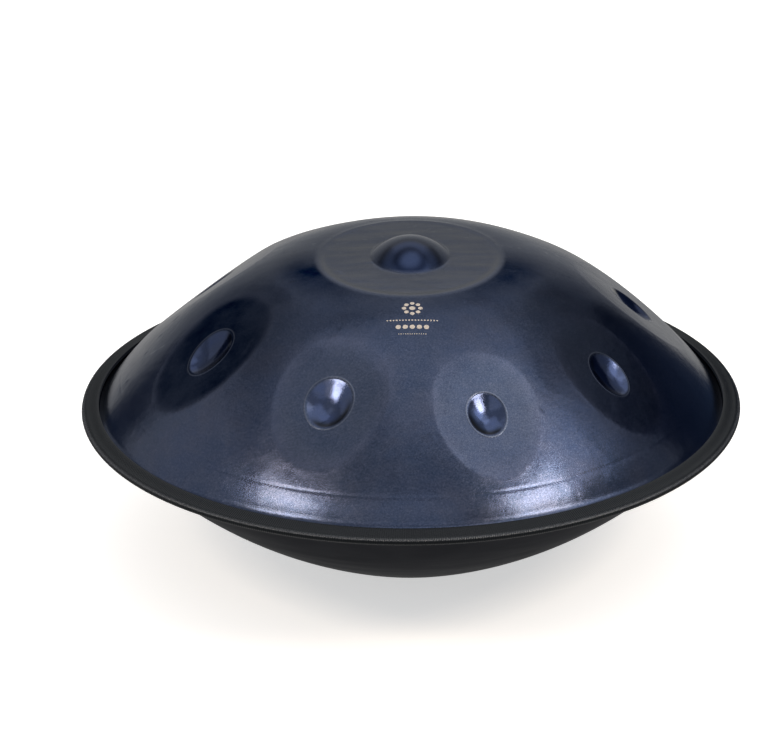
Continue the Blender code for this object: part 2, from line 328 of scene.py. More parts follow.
def note_offset(x, y):
    """How far the sheet is moved along its normal by the ring notes and their lips."""
    offset = np.zeros_like(x)
    for note in NOTES:
        down, across = note_place(note, x, y)
        field, spot = note_reach(note, down, across)
        near = np.nonzero(field < FIELD_REACH)[0]
        down, field, spot = down[near], field[near], spot[near]
        change = -FIELD_FLATTENING * note.width ** 2 * soft_step(1 - field ** 2, FIELD_EDGE)
        bowl = DIMPLE_DEPTH * note.dimple_width * soft_step(1 - spot ** 2, DIMPLE_EDGE)
        bowl *= 1 + DIMPLE_SKEW * np.clip(down / note.dimple_length, -1, 1)
        change -= np.where(spot < DIMPLE_REACH, bowl, 0)
        change += LIP_HEIGHT * bell((spot - LIP_SCALE) * note.dimple_width / LIP_WIDTH)
        change += FIELD_RIDGE_HEIGHT * bell((field - 1) * note.width / FIELD_RIDGE_WIDTH)
        offset[near] += change
    return offset


def ding_rise(x, y):
    """Height of the ding's dome and of its field's ridge, less the field's slight sinking."""
    dome = 1 - (x / DOME_HALF_WIDTH) ** 2 - (y / DOME_HALF_LENGTH) ** 2
    field = 1 - (x / DING_HALF_WIDTH) ** 2 - (y / DING_HALF_LENGTH) ** 2
    sunk = np.where(field > DING_CUT, DING_SINK * soft_step(field, DING_EDGE), 0)
    ridge = (np.sqrt(np.maximum(1 - field, 0)) - 1) * DING_HALF_WIDTH / DING_RIDGE_WIDTH
    rise = np.where(dome > DOME_CUT, DOME_HEIGHT * soft_step(dome, DOME_EDGE), 0)
    return rise - sunk + DING_RIDGE_HEIGHT * bell(ridge)


def top_surface(x, y, depth=0.0):
    """Points of the top shell over plan points, this deep below its outer side."""
    radius = np.hypot(x, y)
    slope = np.interp(radius, RADII, TOP_SLOPES)
    scale = np.hypot(1, slope)
    crease = CREASE_DEPTH * bell((radius - CREASE_RADIUS) / CREASE_WIDTH)
    shift = note_offset(x, y) - crease - depth
    outward = 1 - shift * slope / scale / np.maximum(radius, TINY)
    height = np.interp(radius, RADII, TOP_HEIGHTS) + ding_rise(x, y) + shift / scale
    return np.stack((x * outward, y * outward, RIM_HEIGHT + height), axis=-1)


def top_normals(x, y):
    """Normals of the top shell's outer side."""
    along_x = top_surface(x + NORMAL_STEP, y) - top_surface(x - NORMAL_STEP, y)
    along_y = top_surface(x, y + NORMAL_STEP) - top_surface(x, y - NORMAL_STEP)
    normals = np.cross(along_x, along_y)
    return normals / np.linalg.norm(normals, axis=1)[:, None]


def note_zones(note, x, y):
    """How far each point belongs to the parts of a ring note that differ in colour, painted shade
    and highlights among them.
    """
    down, across = note_place(note, x, y)
    field, spot = note_reach(note, down, across)
    inside = 1 - fade(spot, *DIMPLE_FADE)
    turn = radians(SHADE_TURN * note.azimuth)
    lower = (down * cos(turn) - across * sin(turn)) / note.dimple_length
    aside = fade(abs(note.azimuth), *SIDE_SHADE_FROM) * (1 - fade(abs(note.azimuth), *SIDE_SHADE_TO))
    return {
        "field": 1 - fade(field, *FIELD_FADE),
        # painted highlight just inside the field's edge
        "field_edge": bell((field - FIELD_BAND) * note.width / FIELD_BAND_WIDTH),
        "dimple": inside,
        # painted shade on each dimple's lower wall
        "shade": inside * fade(spot, *SHADE_RING) * fade(lower, *SHADE_SIDE),
        # painted highlight on each dimple's lip
        "lip": bell((spot - LIP_SCALE) * note.dimple_width / LIP_WIDTH),
        # painted shade on the side notes' fields
        "painted_shade": aside * (1 - fade(field, *NOTE_SHADE_FADE)) * (1 - inside),
    }


def ding_zones(x, y):
    """How far each point belongs to the parts on and round the ding that differ in colour,
    painted light and shade among them.
    """
    radius = np.hypot(x, y)
    field = np.hypot(x / DING_HALF_WIDTH, y / DING_HALF_LENGTH)
    front = fade(-y, *FRONT_FADE)
    aside = np.abs(x) / np.maximum(radius, NEAR_AXIS)
    # painted shade outside the ding's field, towards the player and on the shell's two sides
    halo = front * fade(field, *HALO_FROM) * (1 - fade(field, *HALO_TO))
    flank = fade(radius, *FLANK_FROM) * (1 - fade(radius, *FLANK_TO))
    flank *= fade(aside, *FLANK_SIDE) * fade(-y, *FLANK_FRONT)
    painted_shade = np.maximum(halo * (HALO_SHARE + HALO_SIDE_SHARE * aside), FLANK_SHARE * flank)
    dome = 1 - fade(np.hypot(x / DOME_HALF_WIDTH, y / DOME_HALF_LENGTH), *DOME_FADE)
    dome_reflection = np.hypot(x, y + REFLECTION_DROP) / REFLECTION_SIZE
    rings = [bell((dome_reflection - ring) / REFLECTION_RING_WIDTH) for ring in REFLECTION_RINGS]
    return {
        "field": DING_FIELD_SHARE * (1 - fade(field, *DING_FIELD_FADE)),
        # painted highlight along the front of the field
        "pale": front * bell((field - PALE_BAND) * DING_HALF_WIDTH / PALE_WIDTH),
        "painted_shade": painted_shade,
        "plateau": (1 - dome) * (1 - fade(field, *PLATEAU_FADE)),
        # painted reflection on the dome's front: a blue patch with dark rings round it
        "dome_reflection": dome * (1 - fade(dome_reflection, *REFLECTION_FADE)),
        "ring": dome * np.maximum(*rings),
    }


def zones(x, y):
    """Each zone's share at each point, the largest of what the ding and the notes give."""
    shares = ding_zones(x, y)
    for note in NOTES:
        for name, share in note_zones(note, x, y).items():
            shares[name] = np.maximum(shares.get(name, 0.0), share)
    return shares


# ================================================================ plans of the top shell's meshes
def oval_points(half_width, half_length, count):
    """Points round an oval about the crown."""
    turn = 2 * pi * np.arange(count) / count
    return np.stack((half_width * np.sin(turn), half_length * np.cos(turn)), axis=-1)


def circle_points(radius, count):
    """Points round a circle about the crown, from the player's side onwards."""
    return oval_points(radius, -radius, count)


def note_oval(note, scale, count):
    """Points round one oval of a note's dimple, laid on the shell and seen from above."""
    turn = 2 * pi * np.arange(count) / count
    arc = arc_length(note.radius) + scale * note.dimple_length * np.cos(turn)
    radius = np.interp(arc, ARC_LENGTHS, RADII)
    angle = radians(note.azimuth) + scale * note.dimple_width * np.sin(turn) / radius
    return np.stack((radius * np.sin(angle), -radius * np.cos(angle)), axis=-1)


def outside_ovals(points):
    """The points that lie outside the dimples' ovals and the ding's."""
    x, y = points.T
    keep = np.hypot(x / DING_HALF_WIDTH, y / DING_HALF_LENGTH) > DING_CLEAR
    for note in NOTES:
        _, spot = note_reach(note, *note_place(note, x, y))
        keep &= spot > DIMPLE_CLEAR
    return points[keep]


def top_rings():
    """Radii of the top shell's rings, closer together at the crease."""
    rings = []
    radius = CAP_RADIUS
    while radius < RING_END:
        rings.append(radius)
        radius += RING_STEP
    rings = [ring for ring in rings if abs(ring - CREASE_RADIUS) > CREASE_CLEAR]
    return rings + [CREASE_RADIUS + k * CREASE_STEP for k in CREASE_OFFSETS]


def side_count(sides, scale):
    """Sides of an oval that is this large, over the one that has all the sides."""
    return max(FEWEST_SIDES, int(sides * scale))


def outer_plan():
    """Plan of the top shell's outer side: the ding's ovals, rings, and the dimples' ovals."""
    parts = [np.zeros((1, 2))]
    for scale in DOME_OVALS:
        count = side_count(DOME_OVAL_SIDES, scale)
        parts.append(oval_points(scale * DOME_HALF_WIDTH, scale * DOME_HALF_LENGTH, count))
    for scale in DING_OVALS:
        sizes = (scale * DING_HALF_WIDTH, scale * DING_HALF_LENGTH)
        parts.append(oval_points(*sizes, DING_OVAL_SIDES))
    for ring in top_rings():
        parts.append(outside_ovals(circle_points(ring, int(2 * pi * ring / POINT_STEP))))
    for ring in (*RIM_RINGS, SHELL_RADIUS):
        parts.append(circle_points(ring, RIM_SIDES))
    for note in NOTES:
        parts.append(note_oval(note, 0, 1))
        for scale in DIMPLE_OVALS:
            parts.append(note_oval(note, scale, side_count(DIMPLE_OVAL_SIDES, scale)))
    return np.concatenate(parts)


def inner_plan():
    """Coarser plan of the top shell's inner side."""
    parts = [np.zeros((1, 2))]
    for ring in INNER_RINGS:
        count = max(FEWEST_SIDES, int(2 * pi * ring / INNER_POINT_STEP))
        parts.append(circle_points(ring, count))
    for ring in (FLANGE_INNER, SHELL_RADIUS):
        parts.append(circle_points(ring, RIM_SIDES))
    return np.concatenate(parts)


def triangulated(plan):
    """A plan's points and triangles, by Delaunay's method."""
    flat = [Vector(point) for point in plan.tolist()]
    points, _, triangles, *_ = delaunay_2d_cdt(flat, [], [], 0, SAME_POINT)
    return np.array([tuple(p) for p in points]), np.array([tuple(t) for t in triangles])


def rim_order(plan):
    """Indices of the plan's outermost points, in order round the rim."""
    radius = np.hypot(*plan.T)
    rim = np.nonzero(radius > SHELL_RADIUS - RIM_TOLERANCE)[0]
    return rim[np.argsort(np.arctan2(plan[rim, 0], -plan[rim, 1]))]


# ================================================================ pieces
def add_piece(name, points, faces, material):
    """A new mesh object in the row frame."""
    mesh = bpy.data.meshes.new(name)
    mesh.from_pydata(np.asarray(points).tolist(), [], faces)
    mesh.materials.append(material)
    mesh.update()
    piece = bpy.data.objects.new(name, mesh)
    bpy.context.scene.collection.objects.link(piece)
    return piece


def smooth_but_for_corners(piece, degrees):
    """Smooth shading, with edges sharper than this kept sharp."""
    piece.data.shade_smooth()
    piece.data.set_sharp_from_angle(angle=radians(degrees))


def store(piece, name, values):
    """Keep one number per vertex on the mesh, for its material to read."""
    attribute = piece.data.attributes.new(name, "FLOAT", "POINT")
    attribute.data.foreach_set("value", np.asarray(values, np.float32))


def radial(points):
    """Level directions away from the Z axis."""
    out = points.copy()
    out[:, 2] = 0
    return out / np.linalg.norm(out, axis=1)[:, None]


def build_top_shell(material):
    """One pressed sheet with its own normals, taken from the surface and not from its facets."""
    plan, triangles = triangulated(outer_plan())
    under, under_triangles = triangulated(inner_plan())
    under_triangles = under_triangles[:, ::-1]
    rim = rim_order(plan)
    under_rim = rim_order(under) + len(plan)
    assert len(rim) == len(under_rim) == RIM_SIDES
    strip = np.stack((rim, under_rim, np.roll(under_rim, -1), np.roll(rim, -1)), axis=-1)
    points = np.concatenate((top_surface(*plan.T), top_surface(*under.T, SHEET)))
    faces = triangles.tolist() + (under_triangles + len(plan)).tolist() + strip.tolist()
    piece = add_piece("top_shell_surface", points, faces, material)
    normals = np.concatenate((
        top_normals(*plan.T)[triangles.ravel()],
        -top_normals(*under.T)[under_triangles.ravel()],
        radial(points[strip.ravel()]),
    ))
    piece.data.shade_smooth()
    piece.data.normals_split_custom_set(normals.tolist())
    for name, values in zones(*np.concatenate((plan, under)).T).items():
        store(piece, name, values)
    return piece


def sheet_section(line):
    """Close an open (radius, height) line into a section one sheet thick, to the line's left."""
    line = np.array(line)
    steps = np.diff(line, axis=0)
    steps /= np.linalg.norm(steps, axis=1)[:, None]
    into = np.concatenate((steps[:1], steps))
    onward = np.concatenate((steps, steps[-1:]))
    bisector = into + onward
    bisector /= np.linalg.norm(bisector, axis=1)[:, None]
    depth = SHEET / np.maximum((bisector * into).sum(1), 1 / LONGEST_MITRE)
    inner = line + np.stack((-bisector[:, 1] * depth, bisector[:, 0] * depth), axis=-1)
    return np.concatenate((line, inner[::-1]))


def turned(name, section, sides, material):
    """A closed section turned about Z, smooth but for its corners."""
    turn = 2 * pi * np.arange(sides) / sides
    r, z = section.T
    points = np.stack((
        np.outer(-np.sin(turn), r),
        np.outer(np.cos(turn), r),
        np.broadcast_to(z + RIM_HEIGHT, (sides, len(r))),
    ), axis=-1).reshape(-1, 3)
    count = len(r)
    faces = []
    for i in range(sides):
        here, following = i * count, (i + 1) % sides * count
        for j in range(count):
            k = (j + 1) % count
            faces.append((here + j, here + k, following + k, following + j))
    piece = add_piece(name, points, faces, material)
    smooth_but_for_corners(piece, degrees=35)
    return piece


def build_bottom_shell(material):
    """The turned lower shell: neck, port, resting ring, bowl and flange."""
    fillet = LAND_INNER - PORT_RADIUS - SHEET
    neck = np.linspace(NECK_HEIGHT, fillet, NECK_ROWS)[:-1]
    line = [(PORT_RADIUS + SHEET, height - RIM_HEIGHT) for height in neck]
    for turn in np.linspace(0, pi / 2, FILLET_ROWS):
        line.append((LAND_INNER - fillet * cos(turn), fillet * (1 - sin(turn)) - RIM_HEIGHT))
    line.append((LAND_OUTER, -RIM_HEIGHT))
    line += [(radius, -np.interp(radius, RADII, BOTTOM_DEPTHS)) for radius in BOWL_RADII]
    line.append((SHELL_RADIUS, -FLANGE_FACE - SHEET))
    return turned("bottom_shell_surface", sheet_section(line), BOWL_SIDES, material)


def trim_section():
    """The trim's outer face, from its upper free edge round the nose to its lower free edge."""
    upper = [(TRIM_INNER, SLOT_HALF + LEG_FLARE)]
    upper += [(TRIM_INNER + outward, LEG_TOP + upward) for outward, upward in TRIM_LEG]
    reach = TRIM_RADIUS - NOSE_RADIUS
    for turn in np.linspace(0, pi / 2, NOSE_ROWS)[:-1]:
        upper.append((NOSE_RADIUS + reach * sin(turn), NOSE_HEIGHT * cos(turn)))
    lower = [(r, -z) for r, z in reversed(upper)]
    return np.array(upper + [(TRIM_RADIUS, 0.0)] + lower)


def ribbed_points(section, turn):
    """Points of the trim's outer face at each turn, lowered between its ribs."""
    tangents = np.gradient(section, axis=0)
    tangents /= np.linalg.norm(tangents, axis=1)[:, None]
    depth = np.zeros(len(section))
    depth[SMOOTH_POINTS:-SMOOTH_POINTS] = RIB_HEIGHT
    wave = (1 + np.cos(2 * pi * np.arange(len(turn)) / RIB_STEPS)) / 2
    lift = depth * (wave[:, None] - 1)
    radius = section[:, 0] - tangents[:, 1] * lift
    level = section[:, 1] + tangents[:, 0] * lift
    return np.stack((
        -np.sin(turn)[:, None] * radius,
        np.cos(turn)[:, None] * radius,
        level + RIM_HEIGHT,
    ), axis=-1).reshape(-1, 3)


def build_rim_trim(material):
    """The edge trim: fine ribs across its outer face, a plain slot, and two butted ends."""
    section = trim_section()
    count = len(section)
    columns = RIB_COUNT * RIB_STEPS + 1
    start = TRIM_SPLICE / 2 / TRIM_RADIUS
    turn = start + (2 * pi - 2 * start) * np.arange(columns) / (columns - 1)
    points = ribbed_points(section, turn)
    faces = []
    for i in range(columns - 1):
        for j in range(count - 1):
            a, b = i * count + j, (i + 1) * count + j
            faces.append((a, a + 1, b + 1, b))
    slot = len(points)
    slot_points = [
        (-sin(angle) * TRIM_SLOT, cos(angle) * TRIM_SLOT, RIM_HEIGHT + height)
        for angle in turn[::RIB_STEPS]
        for height in (-SLOT_HALF, SLOT_HALF)
    ]
    for rib in range(RIB_COUNT):
        low, next_low = slot + 2 * rib, slot + 2 * (rib + 1)
        upper_edge = [k * count for k in range(rib * RIB_STEPS, (rib + 1) * RIB_STEPS + 1)]
        lower_edge = [k + count - 1 for k in reversed(upper_edge)]
        faces.append((low + 1, *upper_edge, next_low + 1))
        faces.append((next_low, *lower_edge, low))
        faces.append((low, low + 1, next_low + 1, next_low))
    end = (columns - 1) * count
    end_slot = slot + 2 * RIB_COUNT
    faces.append((slot + 1, slot, *reversed(range(count))))
    faces.append((*range(end, end + count), end_slot, end_slot + 1))
    points = np.concatenate((points, slot_points))
    piece = add_piece("rim_trim_surface", points, faces, material)
    smooth_but_for_corners(piece, degrees=50)
    return piece


def emblem_dots():
    """Centre and radius of each dot: a rosette, and three rows below it."""
    x, y = EMBLEM_CENTRE
    dots = [(x, y, HEART_SIZE)]
    for k in range(PETAL_COUNT):
        angle = 2 * pi * k / PETAL_COUNT
        dots.append((x + PETAL_RADIUS * sin(angle), y + PETAL_RADIUS * cos(angle), PETAL_SIZE))
    for drop, width, count, size in EMBLEM_ROWS:
        places = np.linspace(-width / 2, width / 2, count)
        dots += [(x + across, y - drop, size) for across in places]
    return dots


def build_emblem(material):
    """A generic mark in plain dots, lying on the top shell."""
    points = []
    faces = []
    for dot_x, dot_y, size in emblem_dots():
        middle = len(points)
        for share, lift in DOT_SECTION:
            turn = 2 * pi * np.arange(DOT_SIDES if share else 1) / DOT_SIDES
            x = dot_x + share * size * np.sin(turn)
            y = dot_y + share * size * np.cos(turn)
            points += (top_surface(x, y) + top_normals(x, y) * lift).tolist()
        first, second, third = (middle + 1 + ring * DOT_SIDES for ring in range(3))
        for i in range(DOT_SIDES):
            k = (i + 1) % DOT_SIDES
            faces.append((middle, first + k, first + i))
            faces.append((first + i, first + k, second + k, second + i))
            faces.append((second + i, second + k, third + k, third + i))
        faces.append(tuple(range(third, third + DOT_SIDES)))
    piece = add_piece("emblem", points, faces, material)
    smooth_but_for_corners(piece, degrees=40)
    return piece


# ================================================================ materials
WHITE = (1.0, 1.0, 1.0, 1.0)
SHADE_EDGE_TINT = (0.10, 0.13, 0.22, 1.0)  # under the painted shade, the steel mirrors little at a slant as well
BAND_RISE = (0.0008, 0.0016)  # heights on the trim's nose where its smoother band with a painted highlight begins
BAND_FALL = (0.0022, 0.0030)  # and where it ends

# Each layer of the top shell's colour: the zone it lies in, the noise that breaks it up with the
# range taken from that noise, the layer's share over that range, and its colour.
TOP_LAYERS = (
    (None, "tint", (0.50, 0.72), (0.0, 0.30), (0.072, 0.068, 0.088, 1.0)),
    (None, "cloud", (0.40, 0.75), (0.0, 0.28), (0.070, 0.078, 0.112, 1.0)),
    (None, "brushed", (0.35, 0.70), (0.0, 0.15), (0.070, 0.078, 0.110, 1.0)),
    ("field", "tint", (0.35, 0.65), (0.15, 0.65), (0.055, 0.068, 0.104, 1.0)),
    # painted highlight: a paler band just inside each field's edge
    ("field_edge", "cloud", (0.35, 0.65), (0.18, 0.42), (0.084, 0.096, 0.150, 1.0)),
    (None, "grain", (0.50, 0.80), (0.0, 0.75), (0.095, 0.106, 0.158, 1.0)),
    (None, "grain", (0.50, 0.20), (0.0, 0.62), (0.014, 0.020, 0.036, 1.0)),
    ("dimple", None, None, 0.35, (0.070, 0.082, 0.130, 1.0)),
    ("dimple", "cloud", (0.30, 0.70), (0.12, 0.58), (0.040, 0.064, 0.165, 1.0)),
    # painted shade: darker steel on the shell's sides, the side notes' fields and round the
    # ding's field
    ("painted_shade", "tint", (0.35, 0.65), (0.60, 0.95), (0.006, 0.009, 0.018, 1.0)),
    ("plateau", "streaks", (0.40, 0.72), (0.0, 0.75), (0.110, 0.112, 0.122, 1.0)),
    # painted highlight along the front of the ding's field
    ("pale", None, None, 0.70, (0.130, 0.132, 0.142, 1.0)),
    # painted reflection on the dome's front: a blue patch
    ("dome_reflection", None, None, 0.80, (0.026, 0.040, 0.090, 1.0)),
    # painted reflection: dark rings round that patch
    ("ring", None, None, 0.85, (0.006, 0.010, 0.026, 1.0)),
    # painted shade: a dark crescent on each dimple's lower wall
    ("shade", None, None, 0.85, (0.010, 0.011, 0.013, 1.0)),
    # painted highlight on each dimple's raised lip
    ("lip", None, None, 0.22, (0.30, 0.32, 0.38, 1.0)),
)


class Look:
    """A material's nodes, added one at a time and linked as they are made."""

    def __init__(self, name, **settings):
        self.material = bpy.data.materials.new(name)
        self.material.use_nodes = True
        self.tree = self.material.node_tree
        self.shader = self.tree.nodes["Principled BSDF"]
        for socket, value in settings.items():
            self.shader.inputs[socket.replace("_", " ")].default_value = value
        self.place = self.add("ShaderNodeTexCoord").outputs["Object"]

    def put(self, socket, value):
        """Link an output to a socket, or set the socket to a plain value."""
        if isinstance(value, bpy.types.NodeSocket):
            self.tree.links.new(value, socket)
        else:
            socket.default_value = value

    def add(self, kind, inputs=(), **settings):
        """A new node with these settings, and these values or links at its inputs."""
        node = self.tree.nodes.new(kind)
        for key, value in settings.items():
            setattr(node, key, value)
        for key, value in dict(inputs).items():
            self.put(node.inputs[key], value)
        return node

    def feed(self, socket, value):
        """Link an output to the shader."""
        self.tree.links.new(value, self.shader.inputs[socket])

    def math(self, operation, first, second=0.0, third=0.0):
        inputs = {0: first, 1: second, 2: third}
        return self.add("ShaderNodeMath", inputs, operation=operation).outputs[0]

    def moved(self, offset):
        """The object's own place, moved, so that two noises differ."""
        inputs = {0: self.place, 1: offset}
        return self.add("ShaderNodeVectorMath", inputs, operation="ADD").outputs[0]

    def stretched(self, scale):
        """The object's own place, scaled by axis, so that a noise there is drawn out."""
        inputs = {"Vector": self.place, "Scale": scale}
        return self.add("ShaderNodeMapping", inputs).outputs["Vector"]

    def noise(self, place, scale, detail=3.0, roughness=0.55):
        inputs = {"Vector": place, "Scale": scale, "Detail": detail, "Roughness": roughness}
        return self.add("ShaderNodeTexNoise", inputs).outputs["Fac"]

    def spread(self, value, taken, given):
        """A value mapped from one range to another, and held inside it."""
        inputs = {
            "Value": value,
            "From Min": taken[0],
            "From Max": taken[1],
            "To Min": given[0],
            "To Max": given[1],
        }
        return self.add("ShaderNodeMapRange", inputs).outputs["Result"]

    def blend(self, share, first, second):
        """One colour mixed into another by a share."""
        node = self.add("ShaderNodeMix", data_type="RGBA")
        for index, value in ((0, share), (6, first), (7, second)):
            self.put(node.inputs[index], value)
        return node.outputs[2]

    def attribute(self, name):
        return self.add("ShaderNodeAttribute", attribute_name=name).outputs["Fac"]

    def round_grain(self, radial_scale, round_scale):
        """A place that is stretched round the Z axis, so that a noise there looks brushed."""
        x, y, z = self.add("ShaderNodeSeparateXYZ", {0: self.place}).outputs
        across = self.math("MULTIPLY", x, x)
        radius = self.math("SQRT", self.math("MULTIPLY_ADD", y, y, across))
        safe = self.math("MAXIMUM", radius, NEAR_AXIS)
        inputs = {
            0: self.math("MULTIPLY", self.math("SUBTRACT", radius, z), radial_scale),
            1: self.math("MULTIPLY", self.math("DIVIDE", x, safe), round_scale),
            2: self.math("MULTIPLY", self.math("DIVIDE", y, safe), round_scale),
        }
        return self.add("ShaderNodeCombineXYZ", inputs).outputs[0]

    def bump(self, height, distance, strength, normal=None):
        """A bumped normal, on top of another one if that is given."""
        inputs = {"Height": height, "Distance": distance, "Strength": strength}
        if normal is not None:
            inputs["Normal"] = normal
        return self.add("ShaderNodeBump", inputs).outputs["Normal"]


def top_noises(look):
    """The top shell's noises, from the broad mottle to the fine grain."""
    return {
        "mottle": look.noise(look.place, scale=11.0, detail=4.0, roughness=0.6),
        "tint": look.noise(look.moved((3.1, 1.7, 0.4)), scale=17.0, detail=4.0, roughness=0.6),
        "wave": look.noise(look.place, scale=50.0, detail=2.0, roughness=0.5),
        "cloud": look.noise(look.place, scale=60.0, detail=4.0, roughness=0.62),
        "grain": look.noise(look.place, scale=850.0, detail=2.0, roughness=0.75),
        "brushed": look.noise(
            look.round_grain(radial_scale=300.0, round_scale=5.0), scale=1.0, roughness=0.6,
        ),
        "streaks": look.noise(look.stretched((18.0, 85.0, 20.0)), scale=1.0),
    }


def top_steel():
    """Blue nitrided steel, with the heat colours of its fields and dimples, painted shade and
    highlights, and a painted reflection on the dome.
    """
    look = Look("nitrided_steel_blue", Metallic=1.0)
    noises = top_noises(look)
    base = look.blend(
        look.spread(noises["mottle"], (0.34, 0.66), (0.0, 1.0)),
        (0.033, 0.046, 0.082, 1.0),
        (0.042, 0.057, 0.104, 1.0),
    )
    zone_shares = {}
    for zone, noise, taken, given, colour in TOP_LAYERS:
        share = look.spread(noises[noise], taken, given) if noise else given
        if zone:
            share = look.math("MULTIPLY", look.attribute(zone), share)
            zone_shares[zone] = share
        base = look.blend(share, base, colour)
    look.feed("Base Color", base)
    look.feed("Specular Tint", look.blend(zone_shares["painted_shade"], WHITE, SHADE_EDGE_TINT))
    rough = look.spread(noises["cloud"], (0.3, 0.7), (0.20, 0.24))
    rough = look.math("ADD", rough, look.spread(noises["grain"], (0.3, 0.7), (-0.03, 0.03)))
    look.feed("Roughness", look.math("MULTIPLY_ADD", look.attribute("dimple"), -0.08, rough))
    normal = look.bump(noises["wave"], distance=0.0006, strength=0.60)
    normal = look.bump(noises["cloud"], distance=0.0001, strength=0.30, normal=normal)
    normal = look.bump(noises["grain"], distance=0.00006, strength=0.8, normal=normal)
    look.feed("Normal", normal)
    return look.material


def bottom_steel():
    """Dark steel with a faint turned grain."""
    look = Look("nitrided_steel_dark", Metallic=1.0, Specular_Tint=(0.44, 0.44, 0.45, 1.0))
    mottle = look.noise(look.place, scale=18.0, detail=4.0, roughness=0.6)
    grain = look.noise(look.place, scale=1400.0, detail=2.0, roughness=0.7)
    turned_place = look.round_grain(radial_scale=380.0, round_scale=2.0)
    brushed = look.noise(turned_place, scale=1.0, roughness=0.65)
    look.feed("Base Color", look.blend(
        look.spread(mottle, (0.32, 0.68), (0.0, 1.0)),
        (0.043, 0.045, 0.050, 1.0),
        (0.058, 0.060, 0.066, 1.0),
    ))
    look.feed("Roughness", look.spread(brushed, (0.3, 0.7), (0.36, 0.48)))
    normal = look.bump(brushed, distance=0.00006, strength=0.6)
    look.feed("Normal", look.bump(grain, distance=0.00003, strength=0.5, normal=normal))
    return look.material


def trim_rubber():
    """Black rubber, smoother along a band on the upper side of the nose, where a painted
    highlight lightens it.
    """
    look = Look(
        "trim_rubber_black",
        Specular_IOR_Level=0.25,
        Specular_Tint=(0.82, 0.90, 1.0, 1.0),
    )
    speck = look.noise(look.place, scale=900.0, detail=2.0, roughness=0.6)
    smear = look.noise(look.place, scale=40.0, detail=4.0, roughness=0.6)
    base = look.blend(
        look.spread(smear, (0.3, 0.7), (0.0, 1.0)),
        (0.0010, 0.0012, 0.0016, 1.0),
        (0.0024, 0.0028, 0.0034, 1.0),
    )
    z = look.add("ShaderNodeSeparateXYZ", {"Vector": look.place}).outputs["Z"]
    over_rim = look.math("SUBTRACT", z, RIM_HEIGHT)
    rise = look.spread(over_rim, BAND_RISE, (0.0, 1.0))
    band = look.math("MULTIPLY", rise, look.spread(over_rim, BAND_FALL, (1.0, 0.0)))
    # painted highlight: the band's colour is lighter, beaded by the speck
    painted_highlight = look.math("MULTIPLY", band, look.spread(speck, (0.35, 0.65), (0.3, 1.0)))
    look.feed("Base Color", look.blend(painted_highlight, base, (0.060, 0.064, 0.072, 1.0)))
    rough = look.spread(speck, (0.3, 0.7), (0.27, 0.42))
    look.feed("Roughness", look.math("MULTIPLY_ADD", band, -0.17, rough))
    look.feed("Normal", look.bump(speck, distance=0.00008, strength=0.6))
    return look.material


def bond_adhesive():
    """The lumpy black bead between the flanges."""
    look = Look("bond_adhesive_black")
    lumps = look.noise(look.place, scale=160.0, detail=3.0, roughness=0.6)
    base = look.blend(lumps, (0.010, 0.010, 0.011, 1.0), (0.022, 0.022, 0.024, 1.0))
    look.feed("Base Color", base)
    look.feed("Roughness", look.spread(lumps, (0.3, 0.7), (0.50, 0.68)))
    look.feed("Normal", look.bump(lumps, distance=0.0002, strength=0.7))
    return look.material


def emblem_print():
    """Pale print with a fine speck."""
    look = Look("emblem_pale_print")
    speck = look.noise(look.place, scale=2200.0, detail=2.0, roughness=0.6)
    base = look.blend(speck, (0.36, 0.32, 0.28, 1.0), (0.50, 0.45, 0.40, 1.0))
    look.feed("Base Color", base)
    look.feed("Roughness", look.spread(speck, (0.3, 0.7), (0.40, 0.55)))
    look.feed("Normal", look.bump(speck, distance=0.00003, strength=0.4))
    return look.material


def floor_paint():
    """Nearly white paint, with a glow that keeps the floor pale."""
    look = Look("studio_floor", Roughness=0.8, Emission_Color=WHITE, Emission_Strength=0.55)
    soft = look.noise(look.place, scale=3.0, detail=2.0, roughness=0.5)
    look.feed("Base Color", look.blend(soft, (0.86, 0.86, 0.86, 1.0), (0.88, 0.88, 0.88, 1.0)))
    return look.material


def bounce_glow():
    """What the instrument sees in place of the floor: a dim even glow."""
    return Look(
        "floor_bounce_grey",
        Base_Color=(0.0, 0.0, 0.0, 1.0),
        Emission_Color=(1.0, 0.99, 0.97, 1.0),
        Emission_Strength=0.40,
    ).material


def flag_black(name):
    """Nearly black card, with a trace of blue."""
    return Look(
        name,
        Base_Color=(0.01, 0.01, 0.012, 1.0),
        Roughness=0.9,
        Emission_Color=(0.15, 0.40, 1.0, 1.0),
        Emission_Strength=0.08,
    ).material


# ================================================================ stage
FLOOR_HALF = 6.0
FLOOR_DROP = 0.0003         # the floor and the bounce plane each lie this much lower
PLAIN = (1.0, 1.0, 1.0)
WARM = (1.0, 0.84, 0.68)
SOFT = (1.0, 0.95, 0.86)
CREAM = (1.0, 0.97, 0.93)
SOFTBOXES = (               # name, azimuth, elevation, distance, width, height, radiance, colour
    ("ceiling", 120, 83, 2.5, 2.3, 2.3, 0.70, PLAIN),
    ("softbox_left", -51, 39.5, 2.2, 0.66, 0.40, 17.0, WARM),
    ("halo_left", -31, 41, 2.2, 0.5, 0.4, 1.3, WARM),
    ("softbox_right", 51, 39.3, 2.2, 0.66, 0.45, 19.5, WARM),
    ("glow_left", -72, 62, 2.2, 0.5, 0.5, 0.4, SOFT),
    ("glow_right", 64, 60, 2.2, 0.9, 0.7, 1.1, SOFT),
    ("side_right", 71, 43, 2.2, 0.75, 0.65, 2.0, PLAIN),
    ("fill_right", 90, 40, 2.2, 0.7, 0.6, 0.5, PLAIN),
    ("fill_front", 0, 42, 2.2, 1.2, 0.7, 0.55, PLAIN),
    ("wall_left", -92, 25, 2.6, 2.8, 1.5, 0.42, CREAM),
    ("backdrop_top", 180, 43, 3.2, 2.4, 1.75, 0.40, PLAIN),
)
